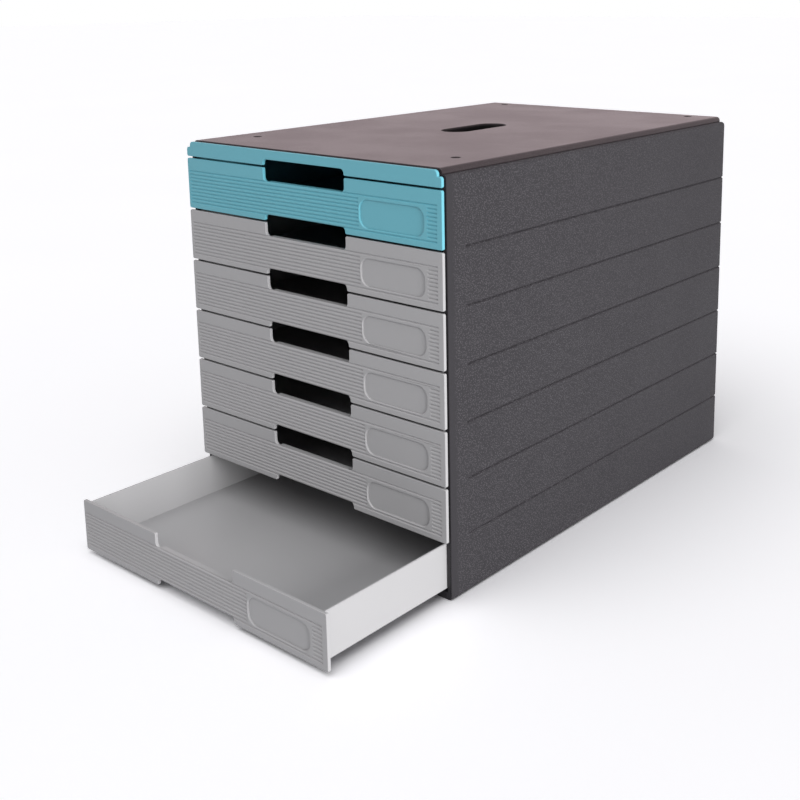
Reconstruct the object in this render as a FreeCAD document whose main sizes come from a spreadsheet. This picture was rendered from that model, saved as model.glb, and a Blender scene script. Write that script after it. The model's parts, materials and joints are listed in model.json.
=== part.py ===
import FreeCAD, Part
import math
import os
import re

import Sketcher

# A desktop filing box: a closed casing of five moulded panels, a fascia strip above
# the drawers and a column of shallow drawers that slide out of the front.
# Millimetres. X is the width, the drawers open towards -Y, Z is up, and the origin
# is on the table under the centre of the closed box.

# Driving dimensions, written to the sheet as plain numbers.
SIZES = {
    # Whole box
    "width": 250.0,
    "depth": 365.0,
    "drawer_count": 7,
    "drawer_spacing": 39.0,         # from one drawer to the next
    "front_lift": 3.4,              # lowest front above the table
    "fascia_height": 10.9,
    "fascia_drop": 0.7,             # top of the fascia below the top of the box
    # Panels of the casing
    "side_wall": 3.8,
    "top_wall": 2.8,
    "top_rise": 4.0,                # top panel above the shoulders of the sides
    "top_overhang": 0.6,            # top panel's edge over the sides' inner faces
    "top_round": 3.0,
    "rear_flat": 0.5,               # rear corners' radius over the top's edge radius
    "shoulder_round": 2.0,
    "foot_round": 3.6,              # bottom outer edges of the sides
    "skirt_wall": 2.4,
    "skirt_gap": 0.8,               # skirts above the highest drawer stops
    "back_wall": 2.7,
    "back_inset": 0.8,
    "base_wall": 2.4,
    "base_gap": 0.2,                # lowest runners above the base
    "rim_wall": 4.0,
    "pad_radius": 7.0,
    "socket_wall": 1.6,
    "socket_gap": 0.3,
    # Grooves that mark the drawers on the outside of the casing
    "groove_start": 18.0,
    "groove_width": 1.9,
    "groove_deep": 1.0,
    # Handle slot and corner holes in the top
    "handle_length": 67.0,
    "handle_width": 25.0,
    "handle_centre": 2.0,           # behind the middle of the box
    "handle_flat": 0.1,             # left straight on each side of the slot's round ends
    "collar_wall": 2.0,
    "collar_depth": 6.0,
    "hole_radius": 3.2,
    "hole_inset": 27.0,             # from the sides' outer faces
    "hole_front": 41.0,             # from the casing's front face
    "hole_back": 14.5,              # from the casing's back
    # Drawer fronts
    "front_wall": 2.4,
    "front_gap": 1.5,               # between two fronts
    "front_clearance": 2.1,         # fronts before the casing
    "front_round": 1.2,
    "finger_width": 80.0,
    "finger_deep": 9.7,             # cut into the top edge of a front
    "finger_round": 3.2,
    "finger_edge_round": 1.0,       # outward corners of the notch and the relief
    "finger_relief": 4.4,           # cut into the bottom edge of what is above it
    "relief_flat": 0.2,             # left straight between a relief's two roundings
    "ledge_wall": 1.5,
    "ledge_depth": 5.0,             # finger ledge, from the front's outer face
    "rib_count": 10,                # from the relief's top to the notch's bottom
    "rib_cut": 1.5,
    "rib_deep": 0.65,
    "rib_margin_left": 2.5,
    "rib_margin_right": 4.5,
    "label_width": 55.5,
    "label_height": 18.2,
    "label_side": 15.5,             # from the front's right edge
    "label_drop": 12.75,            # from the front's top edge
    "label_deep": 0.9,
    "label_round": 6.8,
    "label_bevel": 0.7,
    "label_rim": 1.3,               # plain land round the recess
    "label_rim_right": 3.0,
    # Trays
    "tray_wall": 1.5,
    "tray_floor": 1.5,
    "tray_sill": 0.2,               # tray's underside above the finger relief
    "tray_headroom": 7.0,           # from a tray's rim to the tray above
    "tray_side_gap": 0.7,
    "tray_rear_gap": 0.5,
    "tray_round": 6.0,
    # Runners and stops
    "runner_reach": 7.0,
    "runner_wall": 2.2,
    "runner_gap": 0.3,
    "runner_front": 4.0,            # runners start behind the casing's front face
    "travel": 250.0,
    "opened": 107.5,                # how far the lowest drawer stands open
    "lug_length": 15.0,
    "lug_rear": 10.0,
    "lug_gap": 1.8,
    "stop_length": 4.0,
    "stop_reach": 3.0,
    "stop_gap": 0.3,
    "stop_rise": 1.0,               # stops above the tray's rim
    # Fascia
    "fascia_inset": 0.4,            # step in its ends inside the top panel's edges
    "fascia_tab_width": 12.0,
    "fascia_tab_wall": 2.0,
    "fascia_tab_length": 14.0,
    "fascia_tab_outer": 100.0,
    "fascia_tab_inner": 58.0,
}

# Dimensions that follow from the driving ones.
DERIVED = {
    "half": "width / 2",
    "inner": "half - side_wall",
    "front": "0 - depth / 2",
    "back": "depth / 2",
    "casing_front": "front + front_wall + front_clearance",
    "back_face": "back - back_inset - back_wall",
    "height": "front_lift + drawer_count * drawer_spacing + fascia_height + fascia_drop",
    "shoulder": "height - top_rise",
    "rear_round": "top_round + rear_flat",
    "hole_side": "half - hole_inset",
    "handle_round": "handle_width / 2 - handle_flat",
    "ceiling": "height - top_wall",
    "top_half": "inner + top_overhang",
    "front_height": "drawer_spacing - front_gap",
    "tray_lift": "finger_relief + tray_sill",
    "tray_half": "inner - tray_side_gap",
    "tray_height": "drawer_spacing - tray_headroom",
    "tray_back": "back_face - tray_rear_gap - front",
    "tray_rim": "tray_lift + tray_height",
    "runner_top": "front_lift + tray_lift - runner_gap",
    "runner_bottom": "runner_top - runner_wall",
    "skirt_bottom": "runner_bottom + drawer_count * drawer_spacing + skirt_gap",
    "base_top": "runner_bottom - base_gap",
    "base_under": "base_top - base_wall",
    "lug_height": "tray_headroom - runner_gap - runner_wall - lug_gap",
    "lug_front": "tray_back - lug_rear - lug_length",
    "stop_back": "front + lug_front - travel - stop_gap",
    "finger_half": "finger_width / 2",
    "finger_bottom": "front_height - finger_deep",
    "relief_round": "finger_relief - finger_edge_round - relief_flat",
    "rib_spacing": "(finger_bottom - finger_relief) / (rib_count - 1)",
    "fascia_bottom": "front_lift + drawer_count * drawer_spacing",
    "fascia_step": "shoulder - fascia_drop",
    "label_right": "half - label_side",
    "label_left": "label_right - label_width",
    "label_top": "front_height - label_drop",
    "label_bottom": "label_top - label_height",
}

# Outward normals of a body's origin planes, as its sketches use them.
FRONT_PLANE = "XZ_Plane"            # faces -Y
SIDE_PLANE = "YZ_Plane"             # faces +X
FLOOR_PLANE = "XY_Plane"            # faces +Z

SAME_PLACE = 1e-4                   # closer than this, two points are one


def formula(text):
    """Spell out a formula over the named sizes for FreeCAD's expression engine."""
    def spell(match):
        word = match.group()
        if word in SIZES:
            return "Sizes." + word
        return "(" + formula(DERIVED[word]) + ")"
    return re.sub(r"[a-z_]+", spell, str(text))


def bind(thing, **sizes):
    """Tie properties such as Length to formulas over the sheet."""
    for name, text in sizes.items():
        thing.setExpression(name, formula(text))


def make_sheet(doc):
    sheet = doc.addObject("Spreadsheet::Sheet", "Sizes")
    for row, (alias, size) in enumerate(SIZES.items(), 1):
        sheet.set("A%d" % row, alias)
        sheet.set("B%d" % row, str(size))
        sheet.setAlias("B%d" % row, alias)
    doc.recompute()
    return sheet


def new_body(doc, label, x="0", y="0", z="0"):
    """An empty body whose own origin lies at the given place in the box."""
    body = doc.addObject("PartDesign::Body", label)
    body.Label = label
    for axis, text in (("x", x), ("y", y), ("z", z)):
        if text != "0":
            body.setExpression("Placement.Base." + axis, formula(text))
    return body


def origin_feature(body, role):
    for feature in body.Origin.OriginFeatures:
        if feature.Role == role:
            return feature
    raise LookupError(role)


def new_sketch(body, name, plane, offset="0"):
    """A sketch on one of the body's planes, moved out along the plane's normal."""
    sketch = body.newObject("Sketcher::SketchObject", name)
    sketch.AttachmentSupport = [(origin_feature(body, plane), "")]
    sketch.MapMode = "FlatFace"
    if offset != "0":
        sketch.setExpression("AttachmentOffset.Base.z", formula(offset))
    return sketch


def pin(sketch, geometry, point, across, up):
    """Fix a point of the sketch at two formulas, measured from the sketch's origin."""
    drawn = sketch.getPoint(geometry, point)
    for kind, place, text in (("DistanceX", drawn.x, across), ("DistanceY", drawn.y, up)):
        fixed = Sketcher.Constraint(kind, -1, 1, geometry, point, place)
        index = sketch.addConstraint(fixed)
        sketch.setExpression("Constraints[%d]" % index, formula(text))


def polygon(body, name, plane, corners, offset="0"):
    """A closed outline whose corners are pairs of formulas."""
    sketch = new_sketch(body, name, plane, offset)
    add_loop(sketch, corners)
    return sketch


def add_loop(sketch, corners):
    first = sketch.GeometryCount
    count = len(corners)
    for index in range(count):
        turn = 2 * math.pi / count
        start = FreeCAD.Vector(math.cos(index * turn), math.sin(index * turn), 0)
        end = FreeCAD.Vector(math.cos((index + 1) * turn), math.sin((index + 1) * turn), 0)
        sketch.addGeometry(Part.LineSegment(start, end), False)
    for index in range(count):
        following = first + (index + 1) % count
        joint = Sketcher.Constraint("Coincident", first + index, 2, following, 1)
        sketch.addConstraint(joint)
    for index, (across, up) in enumerate(corners):
        pin(sketch, first + index, 1, across, up)


def rectangle(left, right, low, high):
    return [(left, low), (right, low), (right, high), (left, high)]


def corner_outline(body, name, across, up, radius, offset):
    """What is cut from a body's upper rear corner to leave it rounded.

    It is drawn at that corner, so that its arc starts out on the right side.
    """
    sketch = new_sketch(body, name, SIDE_PLANE, offset)
    bounds = body.Shape.BoundBox
    corner = FreeCAD.Vector(bounds.YMax, bounds.ZMax, 0)
    left = corner - FreeCAD.Vector(1, 0, 0)
    low = corner - FreeCAD.Vector(0, 1, 0)
    circle = Part.Circle(left + low - corner, FreeCAD.Vector(0, 0, 1), 1.0)
    sketch.addGeometry(Part.LineSegment(corner, left), False)
    sketch.addGeometry(Part.ArcOfCircle(circle, 0, math.pi / 2), False)
    sketch.addGeometry(Part.LineSegment(low, corner), False)
    for ends in ((0, 2, 1, 2), (1, 1, 2, 1), (2, 2, 0, 1)):
        sketch.addConstraint(Sketcher.Constraint("Coincident", *ends))
    sketch.addConstraint(Sketcher.Constraint("Horizontal", 1, 3, 1, 1))
    inward = "%s - %s" % (across, radius)
    pin(sketch, 0, 1, across, up)
    pin(sketch, 0, 2, inward, up)
    pin(sketch, 1, 3, inward, "%s - %s" % (up, radius))
    return sketch


def circles(body, name, plane, centres, radius, offset="0"):
    sketch = new_sketch(body, name, plane, offset)
    for index, (across, up) in enumerate(centres):
        circle = Part.Circle(FreeCAD.Vector(index, 0, 0), FreeCAD.Vector(0, 0, 1), 1.0)
        number = sketch.addGeometry(circle, False)
        pin(sketch, number, 3, across, up)
        size = sketch.addConstraint(Sketcher.Constraint("Radius", number, 1.0))
        sketch.setExpression("Constraints[%d]" % size, formula(radius))
    return sketch


def volume(body):
    return body.Shape.Volume if body.Tip and not body.Shape.isNull() else 0.0


def settle(feature):
    """Recompute, and stop here if the feature could not be made."""
    feature.Document.recompute()
    if not feature.isValid() or feature.Shape.isNull():
        raise RuntimeError("%s was not made" % feature.Name)


def add_feature(body, kind, name, sketch, length, along):
    """Pad or pocket a sketch, along its normal or against it, and check what it did."""
    before = volume(body)
    feature = body.newObject("PartDesign::" + kind, name)
    feature.Profile = sketch
    feature.Reversed = along if kind == "Pocket" else not along
    bind(feature, Length=length)
    settle(feature)
    gained = volume(body) - before
    if gained == 0 or (gained > 0) != (kind == "Pad"):
        raise RuntimeError("%s %s did nothing" % (body.Label, name))
    return feature


def pad(body, name, sketch, length, along=True):
    return add_feature(body, "Pad", name, sketch, length, along)


def pocket(body, name, sketch, length, along=False):
    return add_feature(body, "Pocket", name, sketch, length, along)


SIDES = {
    "left": ("x", min),
    "right": ("x", max),
    "rear": ("y", max),
    "low": ("z", min),
    "high": ("z", max),
}


def furthest_points(shape, sides):
    """The corners of a shape that lie furthest to each of the named sides."""
    points = [vertex.Point for vertex in shape.Vertexes]
    for side in sides:
        axis, furthest = SIDES[side]
        end = furthest(getattr(point, axis) for point in points)
        points = [point for point in points if abs(getattr(point, axis) - end) < SAME_PLACE]
    return points


def is_one_of(place, points):
    return any(place.distanceToPoint(point) < SAME_PLACE for point in points)


def corner_edges(feature, sketch, sides):
    """Names of the straight edges that stand square on corners of a sketch."""
    normal = sketch.Placement.Rotation.multVec(FreeCAD.Vector(0, 0, 1))
    corners = furthest_points(sketch.Shape, sides)
    names = []
    for number, edge in enumerate(feature.Shape.Edges, 1):
        if edge.Curve.TypeId != "Part::GeomLine":
            continue
        start = edge.Vertexes[0].Point
        run = edge.Vertexes[-1].Point - start
        if run.cross(normal).Length > SAME_PLACE:
            continue
        feet = [corner - normal * (corner - start).dot(normal) for corner in corners]
        if is_one_of(start, feet):
            names.append("Edge%d" % number)
    return names


def outer_edges(feature, sides):
    """Names of the edges that lie furthest to all of the named sides."""
    corners = furthest_points(feature.Shape, sides)
    return ["Edge%d" % number for number, edge in enumerate(feature.Shape.Edges, 1)
            if all(is_one_of(vertex.Point, corners) for vertex in edge.Vertexes)]


def round_edges(body, name, feature, edges, radius):
    """Round named edges of a feature, and those that run on smoothly from them."""
    if not edges:
        raise RuntimeError("%s %s found no edges" % (body.Label, name))
    rounding = body.newObject("PartDesign::Fillet", name)
    rounding.Base = (feature, edges)
    bind(rounding, Radius=radius)
    settle(rounding)
    return rounding


def fillet(body, name, feature, sketch, radius, *sides):
    """Round a feature's edges over the sketch's corners, or those on some sides."""
    return round_edges(body, name, feature, corner_edges(feature, sketch, sides), radius)


def rim_edges(feature, sketch):
    """Names of the edges that lie in a sketch's plane, on or inside its outline."""
    normal = sketch.Placement.Rotation.multVec(FreeCAD.Vector(0, 0, 1))
    level = sketch.Placement.Base.dot(normal)
    bounds = sketch.Shape.BoundBox
    bounds.enlarge(SAME_PLACE)
    names = []
    for number, edge in enumerate(feature.Shape.Edges, 1):
        points = [vertex.Point for vertex in edge.Vertexes]
        if all(abs(point.dot(normal) - level) < SAME_PLACE and bounds.isInside(point)
               for point in points):
            names.append("Edge%d" % number)
    return names


def chamfer(body, name, feature, sketch, size):
    edge_break = body.newObject("PartDesign::Chamfer", name)
    edge_break.Base = (feature, rim_edges(feature, sketch))
    bind(edge_break, Size=size)
    settle(edge_break)
    return edge_break


def repeat(body, name, feature, role, count, spacing):
    """A row of copies of one feature along an axis of the body."""
    row = body.newObject("PartDesign::LinearPattern", name)
    row.Originals = [feature]
    row.Direction = (origin_feature(body, role), [""])
    bind(row, Length="(%s - 1) * %s" % (count, spacing), Occurrences=count)
    body.Tip = row
    settle(row)
    return row


def v_groove(body, name, plane, offset, corners, length, along=False):
    """A groove cut along a plane's normal from its triangular end."""
    end = polygon(body, name + "End", plane, corners, offset)
    return pocket(body, name, end, length, along)


# ---------------------------------------------------------------- drawers

def drawer_body(doc, number):
    """An empty body in a drawer's place, counted from the top.

    Its own origin is at the middle of the bottom edge of the front's outer face.
    """
    lowest = number == SIZES["drawer_count"]
    return new_body(
        doc, "drawer_%d" % number,
        y="front - opened" if lowest else "front",
        z="front_lift + (drawer_count - %d) * drawer_spacing" % number)


def make_drawers(doc):
    """The first drawer as one moulding, and clones of it below."""
    first = drawer_body(doc, 1)
    plate = polygon(first, "FrontOutline", FRONT_PLANE,
                    rectangle("0 - half", "half", "0", "front_height"))
    front = pad(first, "Front", plate, "front_wall", along=False)
    fillet(first, "FrontCorners", front, plate, "front_round")
    add_tray(first)
    add_finger_grip(first)
    add_ribs_and_label(first)

    bodies = [first]
    for number in range(2, SIZES["drawer_count"] + 1):
        body = drawer_body(doc, number)
        clone = body.newObject("PartDesign::FeatureBase", "Clone")
        clone.BaseFeature = first
        clone.Placement = FreeCAD.Placement()
        body.Tip = clone
        bodies.append(body)
    doc.recompute()
    return bodies


def add_tray(body):
    """The paper tray behind the front, with a stop lug on each rear wall."""
    tray = polygon(body, "TrayOutline", FLOOR_PLANE,
                   rectangle("0 - tray_half", "tray_half", "front_wall / 2", "tray_back"),
                   offset="tray_lift")
    pad(body, "TrayBlock", tray, "tray_height")
    hollow = polygon(body, "TrayHollow", FLOOR_PLANE,
                     rectangle("tray_wall - tray_half", "tray_half - tray_wall",
                               "front_wall", "tray_back - tray_wall"),
                     offset="tray_rim")
    inside = pocket(body, "TrayInside", hollow, "tray_height - tray_floor")
    inner = fillet(body, "TrayInnerCorners", inside, hollow, "tray_round - tray_wall", "rear")
    fillet(body, "TrayOuterCorners", inner, tray, "tray_round", "rear")

    lugs = new_sketch(body, "StopLugs", FLOOR_PLANE, "tray_rim")
    for side in ("0 - ", ""):
        add_loop(lugs, rectangle(side + "(tray_half - tray_wall)", side + "tray_half",
                                 "lug_front", "lug_front + lug_length"))
    pad(body, "StopLugPair", lugs, "lug_height")


def cut_relief(body, bottom):
    """A shallow rounded cut in a bottom edge, over the finger notch below it."""
    relief = polygon(body, "FingerRelief", FRONT_PLANE,
                     rectangle("0 - finger_half", "finger_half", bottom,
                               bottom + " + finger_relief"))
    under = pocket(body, "FingerReliefCut", relief, "front_wall")
    corners = fillet(body, "FingerReliefCorners", under, relief, "relief_round", "high")
    fillet(body, "FingerReliefEdges", corners, relief, "finger_edge_round", "low")


def add_finger_grip(body):
    """A notch in the front's top edge with a ledge behind it, and a relief below."""
    grip = polygon(body, "FingerGrip", FRONT_PLANE,
                   rectangle("0 - finger_half", "finger_half", "finger_bottom",
                             "front_height"))
    cut = pocket(body, "FingerGripCut", grip, "front_wall")
    corners = fillet(body, "FingerGripCorners", cut, grip, "finger_round", "low")
    fillet(body, "FingerGripEdges", corners, grip, "finger_edge_round", "high")

    ledge = polygon(body, "FingerLedge", FRONT_PLANE,
                    rectangle("finger_round - finger_half", "finger_half - finger_round",
                              "finger_bottom - ledge_wall", "finger_bottom"))
    pad(body, "FingerLedgePad", ledge, "ledge_depth", along=False)
    cut_relief(body, "0")


def add_ribs_and_label(body):
    """Fine grooves across the front and a bevelled label recess in a plain land.

    The lowest groove runs along the relief's top and the highest along the notch's
    bottom, so each leaves half of itself there as a soft edge.
    """
    groove = v_groove(body, "Groove", SIDE_PLANE, "rib_margin_left - half",
                      [("0", "finger_relief - rib_cut / 2"),
                       ("rib_deep", "finger_relief"),
                       ("0", "finger_relief + rib_cut / 2")],
                      "width - rib_margin_left - rib_margin_right", along=True)
    repeat(body, "Grooves", groove, "Z_Axis", "rib_count", "rib_spacing")

    land = polygon(body, "LabelLand", FRONT_PLANE,
                   rectangle("label_left - label_rim", "label_right + label_rim_right",
                             "label_bottom - label_rim", "label_top + label_rim"))
    pad(body, "LabelLandFill", land, "rib_deep", along=False)
    label = polygon(body, "LabelOutline", FRONT_PLANE,
                    rectangle("label_left", "label_right", "label_bottom", "label_top"))
    recess = pocket(body, "LabelRecess", label, "label_deep")
    corners = fillet(body, "LabelCorners", recess, label, "label_round")
    chamfer(body, "LabelBevel", corners, label, "label_bevel")


# ---------------------------------------------------------------- casing

def make_side_panel(doc, label, sign):
    """A side wall with a runner and a drawer stop for each tray on its inner face."""
    def out(text):
        return "%d * (%s)" % (sign, text)

    outer = "right" if sign > 0 else "left"
    body = new_body(doc, label)
    wall = polygon(body, "WallEnd", FRONT_PLANE,
                   rectangle(out("inner"), out("half"), "0", "shoulder"),
                   offset="0 - casing_front")
    slab = pad(body, "Wall", wall, "back - casing_front", along=False)
    foot = fillet(body, "FootRound", slab, wall, "foot_round", "low", outer)
    fillet(body, "ShoulderRound", foot, wall, "shoulder_round", "high", outer)
    rear = corner_outline(body, "RearCorner", "back", "shoulder", "rear_round",
                          offset=out("inner"))
    pocket(body, "RearCornerCut", rear, "side_wall", along=sign > 0)

    runner = polygon(body, "RunnerEnd", FRONT_PLANE,
                     rectangle(out("inner - runner_reach"), out("inner + side_wall / 2"),
                               "runner_bottom", "runner_top"),
                     offset="0 - casing_front - runner_front")
    ledge = pad(body, "Runner", runner, "back_face - casing_front - runner_front",
                along=False)
    repeat(body, "Runners", ledge, "Z_Axis", "drawer_count", "drawer_spacing")

    stop = polygon(body, "StopEnd", FRONT_PLANE,
                   rectangle(out("inner - stop_reach"), out("inner + side_wall / 2"),
                             "front_lift + tray_rim + stop_rise",
                             "runner_bottom + drawer_spacing"),
                   offset="0 - stop_back")
    tooth = pad(body, "Stop", stop, "stop_length")
    repeat(body, "Stops", tooth, "Z_Axis", "drawer_count", "drawer_spacing")

    seam = "(front_lift + drawer_spacing - front_gap / 2)"
    groove = v_groove(body, "Groove", FRONT_PLANE, "0 - casing_front - groove_start",
                      [(out("half"), seam + " - groove_width / 2"),
                       (out("half - groove_deep"), seam),
                       (out("half"), seam + " + groove_width / 2")],
                      "back - casing_front - groove_start")
    repeat(body, "Grooves", groove, "Z_Axis", "drawer_count - 1", "drawer_spacing")
    return body


def corner_centres():
    """Plan centres of the four holes in the top and the four pads below."""
    return [(side + "hole_side", along)
            for along in ("casing_front + hole_front", "back - hole_back")
            for side in ("0 - ", "")]


def handle_outline(margin):
    across = "(handle_width / 2 + %s)" % margin
    along = "(handle_length / 2 + %s)" % margin
    return rectangle("0 - " + across, across,
                     "handle_centre - " + along, "handle_centre + " + along)


def make_top_panel(doc):
    """The lid: a plate on the shoulders, skirts inside the sides, and a handle slot."""
    body = new_body(doc, "top_panel")
    plate = polygon(body, "PlateOutline", FLOOR_PLANE,
                    rectangle("0 - top_half", "top_half", "casing_front", "back"),
                    offset="shoulder")
    slab = pad(body, "Plate", plate, "top_rise")
    rear = fillet(body, "RearCorners", slab, plate, "rear_round", "rear")
    round_edges(body, "TopRound", rear, outer_edges(rear, ("rear", "high")), "top_round")

    skirt = polygon(body, "SkirtEnd", FRONT_PLANE,
                    rectangle("0 - inner", "inner", "skirt_bottom", "height - top_wall / 2"),
                    offset="0 - casing_front")
    pad(body, "Skirt", skirt, "back_face - casing_front", along=False)
    hollow = polygon(body, "HollowEnd", FRONT_PLANE,
                     rectangle("skirt_wall - inner", "inner - skirt_wall",
                               "skirt_bottom", "ceiling"),
                     offset="0 - casing_front")
    pocket(body, "Hollow", hollow, "back_face - casing_front")

    collar = polygon(body, "CollarOutline", FLOOR_PLANE, handle_outline("collar_wall"),
                     offset="height - top_wall / 2")
    pad(body, "Collar", collar, "top_wall / 2 + collar_depth", along=False)
    slot = polygon(body, "HandleOutline", FLOOR_PLANE, handle_outline("0"), offset="height")
    cut = pocket(body, "HandleSlot", slot, "2 * top_wall + collar_depth")
    ends = fillet(body, "HandleEnds", cut, slot, "handle_round")
    fillet(body, "CollarEnds", ends, collar, "handle_round + collar_wall")

    holes = circles(body, "HoleOutlines", FLOOR_PLANE, corner_centres(), "hole_radius",
                    offset="height")
    pocket(body, "CornerHoles", holes, "2 * top_wall")
    return body


def make_base_panel(doc):
    """The floor of the casing, standing on a rim, with square sockets for four pads."""
    body = new_body(doc, "base_panel")
    outline = polygon(body, "Outline", FLOOR_PLANE,
                      rectangle("0 - inner", "inner", "casing_front", "back - back_inset"))
    pad(body, "Block", outline, "base_top")
    hollow = polygon(body, "HollowOutline", FLOOR_PLANE,
                     rectangle("rim_wall - inner", "inner - rim_wall",
                               "casing_front + rim_wall", "back - back_inset - rim_wall"))
    pocket(body, "Hollow", hollow, "base_under", along=True)

    sockets = new_sketch(body, "SocketOutlines", FLOOR_PLANE, "base_under / 2")
    reach = " (pad_radius + socket_gap + socket_wall)"
    for across, along in corner_centres():
        add_loop(sockets, rectangle(across + " -" + reach, across + " +" + reach,
                                    along + " -" + reach, along + " +" + reach))
    pad(body, "Sockets", sockets, "base_under / 2 + base_wall / 2")
    bores = circles(body, "SocketBores", FLOOR_PLANE, corner_centres(),
                    "pad_radius + socket_gap", offset="base_under / 2")
    pocket(body, "SocketHollows", bores, "base_under / 2", along=True)
    return body


def make_back_panel(doc):
    """The rear wall, set in from the sides' ends and grooved as they are."""
    body = new_body(doc, "back_panel")
    outline = polygon(body, "Outline", FRONT_PLANE,
                      rectangle("0 - inner", "inner", "base_top", "shoulder"),
                      offset="0 - back_face")
    pad(body, "Wall", outline, "back_wall", along=False)
    seam = "(front_lift + drawer_spacing - front_gap / 2)"
    outside = "(back - back_inset)"
    groove = v_groove(body, "Groove", SIDE_PLANE, "0 - inner",
                      [(outside, seam + " - groove_width / 2"),
                       (outside + " - groove_deep", seam),
                       (outside, seam + " + groove_width / 2")],
                      "2 * inner", along=True)
    repeat(body, "Grooves", groove, "Z_Axis", "drawer_count - 1", "drawer_spacing")
    return body


def make_fascia(doc):
    """The strip over the drawers, with the relief of the first finger grip."""
    body = new_body(doc, "top_fascia", y="front")
    step = "(top_half - fascia_inset)"
    top = "height - fascia_drop"
    outline = polygon(body, "Outline", FRONT_PLANE,
                      [("0 - half", "fascia_bottom"), ("half", "fascia_bottom"),
                       ("half", "fascia_step"), (step, "fascia_step"),
                       (step, top), ("0 - " + step, top),
                       ("0 - " + step, "fascia_step"), ("0 - half", "fascia_step")])
    plate = pad(body, "Plate", outline, "front_wall", along=False)
    bottom = fillet(body, "BottomCorners", plate, outline, "front_round", "low")
    high = fillet(body, "TopCorners", bottom, outline, "top_round", "high")
    right = fillet(body, "RightShoulder", high, outline, "shoulder_round", "right", "high")
    fillet(body, "LeftShoulder", right, outline, "shoulder_round", "left", "high")

    cut_relief(body, "fascia_bottom")

    tabs = new_sketch(body, "TabEnds", FRONT_PLANE, "0 - front_wall / 2")
    for centre in ("0 - fascia_tab_outer", "0 - fascia_tab_inner",
                   "fascia_tab_inner", "fascia_tab_outer"):
        add_loop(tabs, rectangle(centre + " - fascia_tab_width / 2",
                                 centre + " + fascia_tab_width / 2",
                                 "ceiling - fascia_tab_wall", "ceiling"))
    pad(body, "Tabs", tabs, "front_wall / 2 + front_clearance + fascia_tab_length", along=False)
    return body


def make_pads(doc):
    """Four rubber pads, bedded in the base's sockets."""
    names = ("foot_front_left", "foot_front_right", "foot_rear_left", "foot_rear_right")
    bodies = []
    for name, (across, along) in zip(names, corner_centres()):
        body = new_body(doc, name, x=across, y=along)
        disc = circles(body, "Outline", FLOOR_PLANE, [("0", "0")], "pad_radius")
        pad(body, "Disc", disc, "base_under")
        bodies.append(body)
    return bodies


def check(doc, bodies):
    for thing in doc.Objects:
        for state in ("Invalid", "Error"):
            if state in thing.State:
                raise RuntimeError("%s (%s) is %s" % (thing.Label, thing.Name, state))
    for body in bodies:
        if body.Shape.isNull() or not body.Shape.isValid() or len(body.Shape.Solids) != 1:
            raise RuntimeError(body.Label + " is not one valid solid")


def main():
    doc = FreeCAD.newDocument("FilingBox")
    make_sheet(doc)
    bodies = [
        make_side_panel(doc, "side_panel_left", -1),
        make_side_panel(doc, "side_panel_right", 1),
        make_top_panel(doc),
        make_base_panel(doc),
        make_back_panel(doc),
        make_fascia(doc),
    ]
    bodies += make_pads(doc)
    bodies += make_drawers(doc)
    doc.recompute()
    check(doc, bodies)
    os.makedirs("parts", exist_ok=True)
    for body in bodies:
        body.Shape.exportStep("parts/%s.step" % body.Label)
        box = body.Shape.BoundBox
        print("%-18s %9.1f mm3  x %.1f %.1f  y %.1f %.1f  z %.1f %.1f" % (
            body.Label, body.Shape.Volume, box.XMin, box.XMax, box.YMin, box.YMax,
            box.ZMin, box.ZMax))


main()
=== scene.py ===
# %% [markdown]
# # A filing box with seven drawers
#
# This lesson dresses a desktop filing box that was built in CAD: a charcoal casing of five
# panels, a teal strip, seven drawers that slide, and four rubber pads. The CAD pieces are
# already the right shape and size. What they lack is what the eye reads as plastic: the
# small rounded edges that catch the light, the grain of the mould, and a studio to stand in.
#
# One Blender unit is one metre, so sizes below are written in millimetres times `MM`. Z is
# up, and the drawers open towards -Y.

# %% Load the box
import json
import math

import bmesh
import bpy
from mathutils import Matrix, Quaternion, Vector


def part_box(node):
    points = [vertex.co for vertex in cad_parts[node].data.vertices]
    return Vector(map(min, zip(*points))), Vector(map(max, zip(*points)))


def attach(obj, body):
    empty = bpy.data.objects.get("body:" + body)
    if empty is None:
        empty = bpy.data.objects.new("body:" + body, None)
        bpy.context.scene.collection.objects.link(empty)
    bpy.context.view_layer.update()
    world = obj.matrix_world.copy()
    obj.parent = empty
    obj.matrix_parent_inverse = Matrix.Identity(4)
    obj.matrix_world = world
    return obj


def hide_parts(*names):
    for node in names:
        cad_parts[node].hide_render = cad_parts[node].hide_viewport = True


MM = 0.001
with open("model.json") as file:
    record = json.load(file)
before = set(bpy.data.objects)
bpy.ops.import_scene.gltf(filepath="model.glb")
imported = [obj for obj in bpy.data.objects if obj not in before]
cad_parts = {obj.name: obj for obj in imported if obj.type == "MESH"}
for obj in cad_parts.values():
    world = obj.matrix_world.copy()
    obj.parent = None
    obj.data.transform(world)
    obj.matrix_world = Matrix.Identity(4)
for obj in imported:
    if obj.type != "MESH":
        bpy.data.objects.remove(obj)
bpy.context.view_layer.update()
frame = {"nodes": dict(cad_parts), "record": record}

# %% [markdown]
# ## Sizes read from the CAD pieces
#
# Nothing here repeats a size that the CAD model already knows. If the box is made wider
# one day, the finishes follow it.

# %% Read the pieces and the places that the finishes need
bodies = frame["record"]["behaviour"]["bodies"]
drawers = [pieces[0] for name, pieces in bodies.items() if name != "casing"]
feet = [name for name in bodies["casing"] if name.startswith("foot")]
panels = [name for name in bodies["casing"] if "panel" in name]

casing_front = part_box("side_panel_right")[0].y
casing_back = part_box("side_panel_right")[1].y
casing_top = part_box("top_panel")[1].z

print("panels:", panels)
print("casing runs from y", round(casing_front / MM, 1), "to", round(casing_back / MM, 1), "mm")

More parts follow.
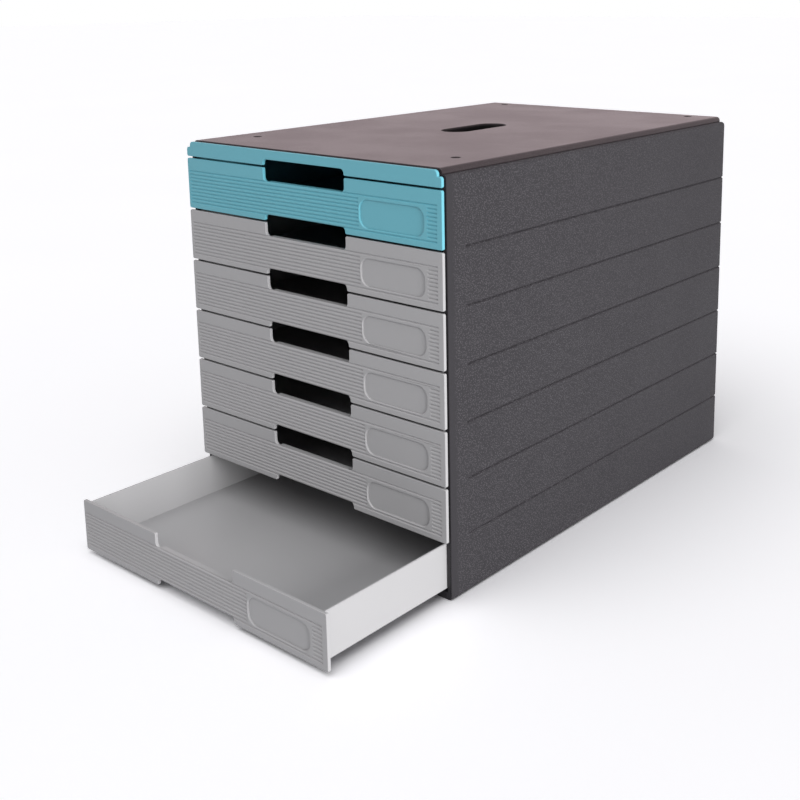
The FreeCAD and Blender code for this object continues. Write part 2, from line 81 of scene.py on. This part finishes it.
# %% [markdown]
# ## A helper for shader nodes
#
# A material is a small graph: coordinates feed textures, textures feed colour, roughness
# and bump, and those feed the Principled shader. Built by hand, each node takes several
# lines. This helper adds one node and sets its inputs, and an input that is given another
# node's output is wired to it.
#
# All textures read Object coordinates. Every finished piece sits at the origin with its
# place in its mesh, so these are metres in the box's own frame, and a grain of one
# millimetre is one millimetre on every piece.

# %% Shader node helpers
def add_node(material, kind, inputs, **settings):
    """Add a shader node to a material or the world.

    Each input is a value, or the output of an earlier node.
    """
    tree = material.node_tree
    node = tree.nodes.new("ShaderNode" + kind)
    for name, value in settings.items():
        setattr(node, name, value)
    for name, value in inputs.items():
        if isinstance(value, bpy.types.NodeSocket):
            tree.links.new(value, node.inputs[name])
        else:
            node.inputs[name].default_value = value
    return node


def new_material(name):
    """A new material, its Principled shader and the coordinates of the piece."""
    material = bpy.data.materials.new(name)
    material.use_nodes = True
    shader = material.node_tree.nodes["Principled BSDF"]
    place = add_node(material, "TexCoord", {}).outputs["Object"]
    return material, shader, place


def ramp(material, value, start, end, low, high):
    """A value that goes smoothly from low to high as its input goes from start to end."""
    inputs = {"Value": value, "From Min": start, "From Max": end, "To Min": low, "To Max": high}
    node = add_node(material, "MapRange", inputs, interpolation_type="SMOOTHSTEP")
    return node.outputs["Result"]


def noise(material, place, size, detail=2.0, roughness=0.5):
    """Noise whose blobs are about `size` metres across."""
    inputs = {"Vector": place, "Scale": 1 / size, "Detail": detail, "Roughness": roughness}
    return add_node(material, "TexNoise", inputs).outputs["Fac"]


def tint(material, factor, dark, light):
    """A colour between two others."""
    node = add_node(material, "Mix", {"Factor": factor}, data_type="RGBA")
    node.inputs["A"].default_value = (*dark, 1)
    node.inputs["B"].default_value = (*light, 1)
    return node.outputs["Result"]


NOISE_SPAN = (0.3, 0.7)            # where most of a noise's values lie
print("node helpers are ready")

# %% [markdown]
# ## Charcoal casing plastic
#
# The casing's mould could be spark-eroded, which gives the outside a pebble grain about a
# millimetre across and hides scratches. The plastic is near black, and the light that the
# pebble tops catch makes the surface speckled, not smooth.
#
# Real displacement would need millions of faces for a grain this fine. Bump does the same
# for the light at this size. A Voronoi texture gives the distance from the middle of each
# cell, and a ramp of it makes one round top per cell. The same tops also lighten the colour:
# a painted highlight that stands in for the glints of the pebble tops, so that the speckle
# stays where light falls flat. Close to the front edge the mould is plain, which leaves a
# smooth band a few millimetres wide. Behind that the grain and its painted highlights are
# full, and they weaken to half at the back.
#
# The sides have the coarse grain. The top has a finer and shallower one, and a little sheen
# that lifts it where it is seen at a low angle.

# %% Casing material
PEBBLE_TOP = (0.12, 0.50)          # distance from a cell's middle, from its top to a valley
GRAIN_STARTS = (4 * MM, 9 * MM)    # behind the front edge, from plain to full grain
GRAIN_FADES = 60 * MM              # behind the front edge, from there on weaker
PLAIN_SHARE = 0.1                  # of the grain that is left close to the front edge
BACK_SHARE = 0.5                   # of the grain that is left at the back
PATCH_SIZE = 55 * MM
GLOSS_DRIFT = 0.06                 # how much rougher some patches are


def casing_plastic(name, pebble, depth, colour, painted_glint, shine):
    """Charcoal plastic with pebbles of a size and depth, and a painted highlight colour on their
    tips.
    """
    material, shader, place = new_material(name)
    tree = material.node_tree
    cells = add_node(material, "TexVoronoi", {"Vector": place, "Scale": 1 / pebble})
    tops = ramp(material, cells.outputs["Distance"], *PEBBLE_TOP, 1.0, 0.0)
    along = add_node(material, "SeparateXYZ", {"Vector": place}).outputs["Y"]
    start, full = (casing_front + part for part in GRAIN_STARTS)
    grained = ramp(material, along, start, full, PLAIN_SHARE, 1.0)
    # Towards the back the grain and its painted highlights weaken, so the speckle is darker there.
    fading = casing_front + GRAIN_FADES
    back_fade = ramp(material, along, fading, casing_back, 1.0, BACK_SHARE)
    shown = add_node(material, "Math", {0: tops, 1: grained}, operation="MULTIPLY")
    shown = add_node(material, "Math", {0: shown.outputs[0], 1: back_fade}, operation="MULTIPLY")
    # The tips' lighter colour is a painted highlight. It stands in for the glints of the pebble
    # tops.
    painted_glints = tint(material, shown.outputs[0], colour, painted_glint)
    tree.links.new(painted_glints, shader.inputs["Base Color"])
    patches = noise(material, place, PATCH_SIZE, detail=3.0)
    gloss = ramp(material, patches, *NOISE_SPAN, shine, shine + GLOSS_DRIFT)
    tree.links.new(gloss, shader.inputs["Roughness"])
    bump_inputs = {"Strength": 1.0, "Distance": depth, "Height": shown.outputs[0]}
    bump = add_node(material, "Bump", bump_inputs)
    tree.links.new(bump.outputs["Normal"], shader.inputs["Normal"])
    return material


# The lighter tip colours in these two calls are painted highlights on the pebble tops.
charcoal_side = casing_plastic("charcoal_pebble", 1.1 * MM, 0.12 * MM, shine=0.50,
                               colour=(0.028, 0.0265, 0.030), painted_glint=(0.080, 0.076, 0.084))
side_shader = charcoal_side.node_tree.nodes["Principled BSDF"]
side_shader.inputs["Specular IOR Level"].default_value = 0.3

charcoal_top = casing_plastic("charcoal_fine", 0.8 * MM, 0.05 * MM, shine=0.36,
                              colour=(0.028, 0.022, 0.024), painted_glint=(0.048, 0.038, 0.041))
top_shader = charcoal_top.node_tree.nodes["Principled BSDF"]
top_shader.inputs["Sheen Weight"].default_value = 0.12
top_shader.inputs["Sheen Roughness"].default_value = 0.35
top_shader.inputs["Sheen Tint"].default_value = (1.0, 0.72, 0.78, 1)
print("casing materials:", charcoal_side.name, charcoal_top.name)

# %% [markdown]
# ## Painted shade on the wall of the handle slot
#
# Light hardly reaches the wall of the handle slot, so its shade is painted into the colour.
# The top's colour is mixed to near black, fully so from two millimetres below the surface,
# inside a block of space round the slot. The block's place comes from the opening that the
# record keeps free for the fingers, so the painted shade follows the slot wherever it goes.

# %% Paint shade on the slot's wall
# Where the slot wall's painted shade lies and its colour. Dark below means this painted shade.
SLOT_BLOCK = (1.4, 1.5)            # from dark to plain, in half sizes of the opening
SLOT_DEPTH = (0.7 * MM, 2.0 * MM)  # below the top face, from plain to fully dark
SLOT_SHADE_COLOUR = (0.004, 0.004, 0.004)


def paint_slot_shade(material, low, high):
    """Paint shade: mix the colour to near black inside a box, below the top face."""
    tree = material.node_tree
    shader = tree.nodes["Principled BSDF"]
    place = add_node(material, "TexCoord", {}).outputs["Object"]
    middle, half = (low + high) / 2, (high - low) / 2
    offset = add_node(material, "VectorMath", {0: place, 1: middle}, operation="SUBTRACT")
    distance = add_node(material, "VectorMath", {0: offset.outputs[0]}, operation="ABSOLUTE")
    share = add_node(material, "VectorMath", {0: distance.outputs[0], 1: half}, operation="DIVIDE")
    share = add_node(material, "SeparateXYZ", {"Vector": share.outputs[0]})
    reach = {0: share.outputs["X"], 1: share.outputs["Y"]}
    reach = add_node(material, "Math", reach, operation="MAXIMUM")
    beside = ramp(material, reach.outputs[0], *SLOT_BLOCK, 1.0, 0.0)
    height = add_node(material, "SeparateXYZ", {"Vector": place}).outputs["Z"]
    plain, full = (casing_top - part for part in SLOT_DEPTH)
    below = ramp(material, height, full, plain, 1.0, 0.0)
    # The painted shade of the slot's wall: near black where light hardly reaches it.
    inside = add_node(material, "Math", {0: beside, 1: below}, operation="MULTIPLY")
    dark = tint(material, inside.outputs[0], (0, 0, 0), SLOT_SHADE_COLOUR)
    tree.links.new(shader.inputs["Base Color"].links[0].from_socket, dark.node.inputs["A"])
    tree.links.new(dark, shader.inputs["Base Color"])


openings = frame["record"]["physics"]["openings"]
slot_box = next(opening["box_m"] for opening in openings if opening["name"] == "handle_slot")
slot_low, slot_high = (Vector(corner) for corner in slot_box)
paint_slot_shade(charcoal_top, slot_low, slot_high)
slot_size = [round(side / MM) for side in slot_high - slot_low]
print("the slot's wall is dark round an opening of", slot_size, "mm")

# %% [markdown]
# ## Satin drawer plastic
#
# The drawers and the strip above them come from a finely sanded mould: satin, almost
# without grain, in one even colour. Three faint things keep it from looking like paint on a
# screen. The sanding shows as a very fine bump, the gloss drifts a little where the melt
# cooled unevenly, and the colour varies by a few percent over a hand's width.

# %% Drawer materials
DRIFT_SIZE = 70 * MM
COLOUR_DRIFT = (0.965, 1.02)       # shares of the colour as written
SATIN_ROUGHNESS = (0.32, 0.40)
SANDING_SIZE = 0.35 * MM


def satin_plastic(name, colour):
    """Satin plastic whose colour and gloss drift a little."""
    material, shader, place = new_material(name)
    drift = noise(material, place, DRIFT_SIZE, detail=3.0)
    sanding = noise(material, place, SANDING_SIZE, detail=4.0, roughness=0.65)
    darker, lighter = (tuple(share * part for part in colour) for share in COLOUR_DRIFT)
    tree = material.node_tree
    tree.links.new(tint(material, drift, darker, lighter), shader.inputs["Base Color"])
    gloss = ramp(material, drift, *NOISE_SPAN, *SATIN_ROUGHNESS)
    tree.links.new(gloss, shader.inputs["Roughness"])
    bump_inputs = {"Strength": 0.35, "Distance": 0.03 * MM, "Height": sanding}
    bump = add_node(material, "Bump", bump_inputs)
    tree.links.new(bump.outputs["Normal"], shader.inputs["Normal"])
    return material


teal_plastic = satin_plastic("teal_satin", (0.125, 0.400, 0.485))
grey_plastic = satin_plastic("grey_satin", (0.365, 0.362, 0.372))
print("drawer materials:", teal_plastic.name, grey_plastic.name)

# %% [markdown]
# ## Rubber
#
# The pads are black rubber: dull, slightly dusty and faintly rough, so that light dies on
# them. A little noise in the colour stands for the dust.

# %% Rubber material
rubber, shader, place = new_material("pad_rubber")
dust = noise(rubber, place, 1.5 * MM, detail=4.0, roughness=0.7)
grit = noise(rubber, place, 0.3 * MM, detail=3.0)
bump = add_node(rubber, "Bump", {"Strength": 0.5, "Distance": 0.05 * MM, "Height": grit})
dusty = tint(rubber, dust, (0.012, 0.012, 0.012), (0.034, 0.033, 0.032))
rubber.node_tree.links.new(dusty, shader.inputs["Base Color"])
rubber.node_tree.links.new(bump.outputs["Normal"], shader.inputs["Normal"])
shader.inputs["Roughness"].default_value = 0.85
print("rubber material:", rubber.name)

# %% [markdown]
# ## A closed copy of a CAD piece
#
# A CAD piece arrives as loose triangles with perfectly sharp edges. No moulding has those:
# a knife edge would cut hands and tear in the mould, so every outer edge is rounded by a few
# tenths of a millimetre, and that rounding is what draws the thin bright line round a part.
#
# A bevel shader node would fake it, but the exported mesh would stay sharp. Modelling all
# pieces again would risk their sizes. So the CAD piece is copied, its triangles are merged
# into one closed skin with whole flat faces, and the copy's own edges are rounded.

# %% Copy and merge
def select_only(piece):
    """Deselect everything else, because an operator acts on all that is selected."""
    bpy.ops.object.select_all(action="DESELECT")
    piece.select_set(True)
    bpy.context.view_layer.objects.active = piece


def merged_copy(node):
    """The same shape as a CAD piece, as one closed mesh with whole flat faces."""
    piece = bpy.data.objects.new(node + "_moulding", frame["nodes"][node].data.copy())
    bpy.context.scene.collection.objects.link(piece)
    select_only(piece)
    bpy.ops.object.mode_set(mode="EDIT")
    bpy.ops.mesh.select_all(action="SELECT")
    bpy.ops.mesh.customdata_custom_splitnormals_clear()
    bpy.ops.mesh.remove_doubles(threshold=0.001 * MM)
    bpy.ops.mesh.dissolve_limited(angle_limit=math.radians(0.5))
    bpy.ops.object.mode_set(mode="OBJECT")
    return piece


print("merging turns", len(frame["nodes"]["drawer_1"].data.polygons), "triangles into whole faces")

# %% [markdown]
# ## Slices that keep large faces simple
#
# Merging leaves a front as one face with many holes in it, one for each groove, and Blender
# may fill such a face wrongly. A modeller would add loops where features begin and end.
# Bisect does that here: wherever many corners line up, the whole piece is sliced by a plane
# that takes nothing away, and what is left between the grooves are plain strips. The top
# and the base are also sliced along the rows of the corner holes and halfway between them.
#
# It doesn't catch everything. Some faces of the finished pieces, about one in a hundred,
# are still filled with triangles that overlap.

# %% Slice where corners line up
LINED_UP = 12                      # corners that make a line worth slicing


def lined_up(piece, axis):
    """Places along an axis where many corners share one coordinate."""
    counts = {}
    for vertex in piece.data.vertices:
        place = round(vertex.co[axis] / MM, 2)
        counts[place] = counts.get(place, 0) + 1
    return [place * MM for place, count in sorted(counts.items()) if count >= LINED_UP]


def slice_across(piece, axis, places):
    """Cut new edges into a piece with planes that are square to an axis."""
    normal = [0, 0, 0]
    normal[axis] = 1
    select_only(piece)
    bpy.ops.object.mode_set(mode="EDIT")
    for place in places:
        point = [place * part for part in normal]
        bpy.ops.mesh.select_all(action="SELECT")
        bpy.ops.mesh.bisect(plane_co=point, plane_no=normal, threshold=0.005 * MM)
    bpy.ops.object.mode_set(mode="OBJECT")


holes = next(mount for mount in frame["record"]["mounts"] if mount["name"] == "corner_holes")
hole_middle = Vector(holes["pos_m"])
hole_rows = {
    0: [hole_middle.x + side * holes["dims"]["spacing_x_mm"] / 2 * MM for side in (-1, 0, 1)],
    1: [hole_middle.y + side * holes["dims"]["spacing_y_mm"] / 2 * MM for side in (-1, 0, 1)],
}
for axis, row in hole_rows.items():
    print("rows of holes on axis", "xy"[axis], "at", [round(place / MM) for place in row], "mm")

# %% [markdown]
# ## Rounded edges
#
# Not every edge is rounded alike. An outer corner that turns by a right angle gets the full
# radius. The gentle edges, such as the sides of the grooves on the fronts, get half of it,
# or the ribs between the grooves would melt away. Inner corners stay crisp.
#
# The bevel modifier reads such a share from each edge as its bevel weight. A weighted-normal
# modifier then keeps the large faces flat, so that only the narrow roundings are shaded as
# curved.

# %% Weigh and bevel the edges
SQUARE_TURN = math.radians(60)
GENTLE_TURN = math.radians(28)
GENTLE_SHARE = 0.5                 # of the full radius


def weigh_edges(piece):
    """Set how much of the bevel each outward edge gets, and return how many get some."""
    skin = bmesh.new()
    skin.from_mesh(piece.data)
    weight = skin.edges.layers.float.new("bevel_weight_edge")
    for edge in skin.edges:
        turn = edge.calc_face_angle_signed(0.0)
        if turn > SQUARE_TURN:
            edge[weight] = 1.0
        elif turn > GENTLE_TURN:
            edge[weight] = GENTLE_SHARE
    count = sum(1 for edge in skin.edges if edge[weight] > 0)
    skin.to_mesh(piece.data)
    skin.free()
    return count


def round_edges(piece, radius):
    """Bevel the weighted edges and shade the roundings as curved."""
    rounding = piece.modifiers.new("rounding", "BEVEL")
    rounding.limit_method = "WEIGHT"
    rounding.width = radius
    rounding.segments = 3
    rounding.use_clamp_overlap = False
    select_only(piece)
    bpy.ops.object.shade_smooth_by_angle(angle=math.radians(40))
    shading = piece.modifiers.new("flat faces", "WEIGHTED_NORMAL")
    shading.keep_sharp = True
    for modifier in ("rounding", "flat faces"):
        bpy.ops.object.modifier_apply(modifier=modifier)


print("edges that turn by more than", round(math.degrees(GENTLE_TURN)), "degrees get rounded")

# %% [markdown]
# ## Rounded heels
#
# The lower rear corner of each side is rounded, so that the box can be tipped back without
# digging into the table. The CAD side is square there.
#
# A bevel on that one edge could do it, but it would meet the rounded lower edge of the side.
# Flat cuts are simpler. Each bisect touches the corner's arc at another angle and takes away
# what lies outside it, and five of them leave a corner that the bevel then smooths.

# %% Trim the heels
HEEL_ROUND = 3.5 * MM
HEEL_CUTS = range(15, 90, 15)      # degrees round the corner's arc, from the rear downwards


def trim_heel(piece):
    """Round the lower rear corner of a side with flat cuts round its arc."""
    back = max(corner[1] for corner in piece.bound_box)
    foot = min(corner[2] for corner in piece.bound_box)
    centre = Vector((0, back - HEEL_ROUND, foot + HEEL_ROUND))
    select_only(piece)
    bpy.ops.object.mode_set(mode="EDIT")
    for degrees in HEEL_CUTS:
        turn = math.radians(degrees)
        outward = Vector((0, math.cos(turn), -math.sin(turn)))
        touch = centre + HEEL_ROUND * outward
        bpy.ops.mesh.select_all(action="SELECT")
        bpy.ops.mesh.bisect(plane_co=touch, plane_no=outward, use_fill=True,
                            clear_outer=True, threshold=0.001 * MM)
    bpy.ops.object.mode_set(mode="OBJECT")


print("a heel gets", len(HEEL_CUTS), "cuts")

# %% [markdown]
# ## From CAD piece to moulding
#
# Every CAD piece goes through the same steps: copy and merge, slice, trim the heel if it is
# a side, round the edges, and take its material.

# %% Soften one piece
CASING_ROUND = 0.5 * MM
FRONT_ROUND = 0.4 * MM


def soft_piece(node, body, radius, material):
    """Put a softened copy of a CAD piece in its place, on the same body."""
    piece = merged_copy(node)
    for axis in (0, 1):
        extra = hole_rows[axis] if node in ("top_panel", "base_panel") else []
        slice_across(piece, axis, lined_up(piece, axis) + extra)
    if node.startswith("side_panel"):
        trim_heel(piece)
    count = weigh_edges(piece)
    round_edges(piece, radius)
    piece.data.materials.clear()
    piece.data.materials.append(material)
    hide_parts(node)
    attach(piece, body)
    print(node, "has", count, "rounded edges and", len(piece.data.polygons), "faces")


print("edges are rounded by", CASING_ROUND / MM, "or", FRONT_ROUND / MM, "mm")

# %% [markdown]
# ## The casing
#
# Four of the five panels share the coarse grain. The top has a finer one, because it is the
# face that papers and a second box slide over. The strip above the drawers is part of the
# casing, but moulded in the drawers' teal.

# %% Soften the casing
for node in panels:
    finish = charcoal_top if node == "top_panel" else charcoal_side
    soft_piece(node, "casing", CASING_ROUND, finish)
soft_piece("top_fascia", "casing", FRONT_ROUND, teal_plastic)

# %% [markdown]
# ## The drawers
#
# Each drawer is one moulding: a shallow tray with a ribbed front. All seven have the same
# shape, the top one in teal and the others in light grey, and each rides on its own body so
# that it slides by itself.

# %% Soften the drawers
for node in drawers:
    if node == "drawer_1":
        soft_piece(node, node, FRONT_ROUND, teal_plastic)
    else:
        soft_piece(node, node, FRONT_ROUND, grey_plastic)

# %% [markdown]
# ## The rubber pads
#
# A pad is a small disc pressed into a ring under the base. It starts as a cylinder of the
# CAD pad's size. Its lower rim is bevelled. Three insets, each followed by a small push,
# then leave a flat rim, a groove, a raised ring and a hollow, which grip better than a flat
# face. Edit mode is set to faces first. In vertex mode Blender would work out the selected
# faces from their corners and pick others too.

# %% Model the pads
PAD_ROUND = 0.7 * MM
FACING_DOWN = -0.999               # highest z of the normal of a face that looks down
RIM_LEVEL = 0.01 * MM              # a face lower than this above the foot is the lowest one
RING_STEPS = ((1.6 * MM, 0.4 * MM), (1.0 * MM, -0.4 * MM), (1.0 * MM, 0.4 * MM))  # width, push
RING_WALL = 0.15 * MM              # width of the slope between two levels


def rubber_pad(node):
    """A pad with a bevelled rim and a raised ring, in place of the CAD pad."""
    low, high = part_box(node)
    middle = (low + high) / 2
    radius = (high.x - low.x) / 2
    bpy.ops.object.select_all(action="DESELECT")
    bpy.ops.mesh.primitive_cylinder_add(vertices=64, radius=radius, depth=high.z - low.z,
                                        location=middle)
    pad = bpy.context.object
    pad.name = node + "_pad"
    bpy.ops.object.transform_apply(location=True, rotation=True, scale=True)
    bpy.ops.object.mode_set(mode="EDIT")
    bpy.ops.mesh.select_mode(type="FACE")
    bpy.ops.mesh.select_all(action="DESELECT")
    bpy.ops.object.mode_set(mode="OBJECT")
    for face in pad.data.polygons:
        face.select = face.normal.z < FACING_DOWN
    bpy.ops.object.mode_set(mode="EDIT")
    bpy.ops.mesh.bevel(offset=PAD_ROUND, segments=4, affect="EDGES")
    bpy.ops.object.mode_set(mode="OBJECT")
    for face in pad.data.polygons:
        face.select = face.normal.z < FACING_DOWN and face.center.z < low.z + RIM_LEVEL
    bpy.ops.object.mode_set(mode="EDIT")
    for width, push in RING_STEPS:
        bpy.ops.mesh.inset(thickness=width)
        bpy.ops.mesh.inset(thickness=RING_WALL)
        bpy.ops.transform.translate(value=(0, 0, push))
    bpy.ops.object.mode_set(mode="OBJECT")
    bpy.ops.object.shade_smooth_by_angle(angle=math.radians(30))
    pad.data.materials.append(rubber)
    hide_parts(node)
    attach(pad, "casing")
    return pad


for node in feet:
    pad = rubber_pad(node)
    print(pad.name, "has", len(pad.data.polygons), "faces")

# %% [markdown]
# ## Floor and background
#
# The box stands on a white floor that runs on until it meets a white world, so there is no
# horizon. More light would make a floor white too, but it would bleach the box as well.
# Instead the floor's colour is multiplied for camera rays alone. The light that it throws
# back on the box stays that of a pale floor, and the box's shadow stays on it.
#
# The world is seen in three ways. It lights the box softly, and the camera sees plain
# white. In reflections it is brightest at the left and near the horizon, and falls off to
# the right and upwards, as in a studio with one white wall. A trace of rose in it gives
# the top its warm tone. The Light Path node tells the three apart.

# %% Make the stage
FLOOR_SIZE = 30.0                  # metres
FLOOR_GAIN = 1.48                  # how much brighter the camera sees the floor
FLOOR_PATCH = 0.4
FLOOR_COLOURS = ((0.905, 0.90, 0.925), (0.925, 0.92, 0.945))
WORLD_STRENGTH = 0.29
MIRRORED_LOW = 0.35                # the darkest factor in reflections, for each way
MIRRORED_RIGHT = (0.0, 0.6)        # X of a direction, from bright to dark
MIRRORED_ABOVE = (0.25, 0.6)       # Z of a direction, from bright to dark
MIRRORED_ROSE = (1.0, 0.87, 0.895)


def make_floor():
    """A white floor that the camera sees brighter than the box does."""
    bpy.ops.object.select_all(action="DESELECT")
    bpy.ops.mesh.primitive_plane_add(size=FLOOR_SIZE)
    floor = bpy.context.object
    floor.name = "floor"
    material, shader, place = new_material("white_floor")
    shade = noise(material, place, FLOOR_PATCH)
    colour = tint(material, shade, *FLOOR_COLOURS)
    seen = add_node(material, "LightPath", {}).outputs["Is Camera Ray"]
    gain = add_node(material, "MapRange", {"Value": seen, "To Min": 1.0, "To Max": FLOOR_GAIN})
    gain = gain.outputs["Result"]
    shown = add_node(material, "VectorMath", {0: colour, "Scale": gain}, operation="SCALE")
    material.node_tree.links.new(shown.outputs[0], shader.inputs["Base Color"])
    shader.inputs["Roughness"].default_value = 0.9
    shader.inputs["Specular IOR Level"].default_value = 0.0
    floor.data.materials.append(material)
    return floor


def make_world(strength):
    """A soft world that looks white to the camera and graded in reflections."""
    world = bpy.data.worlds.new("white_studio")
    world.use_nodes = True
    bpy.context.scene.world = world
    path = add_node(world, "LightPath", {})
    glossy = path.outputs["Is Glossy Ray"]
    towards = add_node(world, "TexCoord", {}).outputs["Generated"]
    towards = add_node(world, "SeparateXYZ", {"Vector": towards})
    beside = ramp(world, towards.outputs["X"], *MIRRORED_RIGHT, 1.0, MIRRORED_LOW)
    above = ramp(world, towards.outputs["Z"], *MIRRORED_ABOVE, 1.0, MIRRORED_LOW)
    mirrored = add_node(world, "Math", {0: beside, 1: above}, operation="MULTIPLY")
    level = add_node(world, "Mix", {"Factor": glossy, "A": strength, "B": mirrored.outputs[0]})
    seen = {0: path.outputs["Is Camera Ray"], 1: path.outputs["Is Transmission Ray"]}
    seen = add_node(world, "Math", seen, operation="MAXIMUM").outputs[0]
    level = add_node(world, "Mix", {"Factor": seen, "A": level.outputs["Result"], "B": 1.0})
    cast = tint(world, glossy, (1, 1, 1), MIRRORED_ROSE)
    sky = world.node_tree.nodes["Background"]
    world.node_tree.links.new(cast, sky.inputs["Color"])
    world.node_tree.links.new(level.outputs["Result"], sky.inputs["Strength"])
    return world


floor = make_floor()
world = make_world(WORLD_STRENGTH)
print("stage:", floor.name, "and", world.name)

# %% [markdown]
# ## Light
#
# Two lamps and the world light the box. A broad sun overhead gives the top its tone and
# leaves a soft shadow where the box meets the floor. Its wide angle softens that shadow as
# a large cloth in front of a lamp does. On a face turned towards it, a sun of strength pi
# shows a colour as it is written.
#
# The key light is a square panel that stands to the right and low. It makes the right-hand
# edges of the fronts and the side of the open tray the brightest parts, while the fronts
# stay calm. Being near, it fades a little towards the back of the box, as a sun would not.
# Two things are switched off for it. It doesn't light the floor, as behind a studio's
# flag, or its long shadow would stretch to the left. And it isn't seen in reflections, or
# it would burn a white patch into the top for a camera that looks from the rear left.

# %% Light the box
OVERHEAD_FROM = (0.05, -0.40, 1.0)
OVERHEAD_STRENGTH = 1.5
OVERHEAD_ANGLE = 70                # degrees
KEY_PLACE = (1.75, -0.40, 0.40)    # metres
KEY_AIM = (0.1, -0.1, 0.12)
KEY_SIDE = 0.9
KEY_POWER = 47.0                   # watts
KEY_COLOUR = (1.0, 0.995, 0.985)


def add_lamp(name, kind, direction, strength, colour):
    """A lamp that shines from a direction, and its data."""
    data = bpy.data.lights.new(name, kind)
    data.energy = strength
    data.color = colour
    lamp = bpy.data.objects.new(name, data)
    lamp.rotation_mode = "QUATERNION"
    lamp.rotation_quaternion = Vector(direction).to_track_quat("Z", "Y")
    bpy.context.scene.collection.objects.link(lamp)
    return lamp, data


def keep_off(lamp, piece):
    """Stop a lamp from lighting one object."""
    flagged = bpy.data.collections.new("not lit by " + lamp.name)
    flagged.objects.link(piece)
    flagged.collection_objects[0].light_linking.link_state = "EXCLUDE"
    lamp.light_linking.receiver_collection = flagged


overhead, sun = add_lamp("overhead", "SUN", OVERHEAD_FROM, OVERHEAD_STRENGTH, (1.0, 1.0, 1.0))
sun.angle = math.radians(OVERHEAD_ANGLE)

key_from = Vector(KEY_PLACE) - Vector(KEY_AIM)
key, panel = add_lamp("key", "AREA", key_from, KEY_POWER, KEY_COLOUR)
key.location = KEY_PLACE
panel.shape = "SQUARE"
panel.size = KEY_SIDE
keep_off(key, floor)
key.visible_glossy = False
print("lamps:", overhead.name, key.name)

# %% [markdown]
# ## Camera
#
# The box is seen from the front right and a little above, with upright edges kept nearly
# upright, as catalogue pictures do. A camera does that by looking less far down and
# shifting the picture instead, which the shift values do here. The lens is about 52 mm,
# which is close to a normal one.

# %% Place the camera
PICTURE = 800                      # pixels along each side
VIEW_PLACE = Vector((581.1, -708.1, 392.6)) * MM
VIEW_YAW = -0.6991                 # radians from +Y, turning to -X
VIEW_PITCH = -0.2015
VIEW_ROLL = -0.0116
FOCAL_PIXELS = 1160                # focal length, in widths of a pixel
CENTRE_PIXEL = (460, 230)          # where the lens axis meets the picture

camera_data = bpy.data.cameras.new("camera")
camera_data.sensor_width = 36
camera_data.lens = FOCAL_PIXELS / PICTURE * camera_data.sensor_width
camera_data.shift_x = 0.5 - CENTRE_PIXEL[0] / PICTURE
camera_data.shift_y = CENTRE_PIXEL[1] / PICTURE - 0.5
camera = bpy.data.objects.new("camera", camera_data)
bpy.context.scene.collection.objects.link(camera)

along = math.cos(VIEW_PITCH)
look = Vector((math.sin(VIEW_YAW) * along, math.cos(VIEW_YAW) * along, math.sin(VIEW_PITCH)))
camera.location = VIEW_PLACE
camera.rotation_mode = "QUATERNION"
camera.rotation_quaternion = look.to_track_quat("-Z", "Y") @ Quaternion((0, 0, 1), VIEW_ROLL)
camera_data.clip_end = 100
bpy.context.scene.camera = camera
bpy.context.scene.view_settings.view_transform = "Standard"
shift = [round(part, 3) for part in (camera_data.shift_x, camera_data.shift_y)]
print("lens:", round(camera_data.lens, 1), "mm, shift", shift)
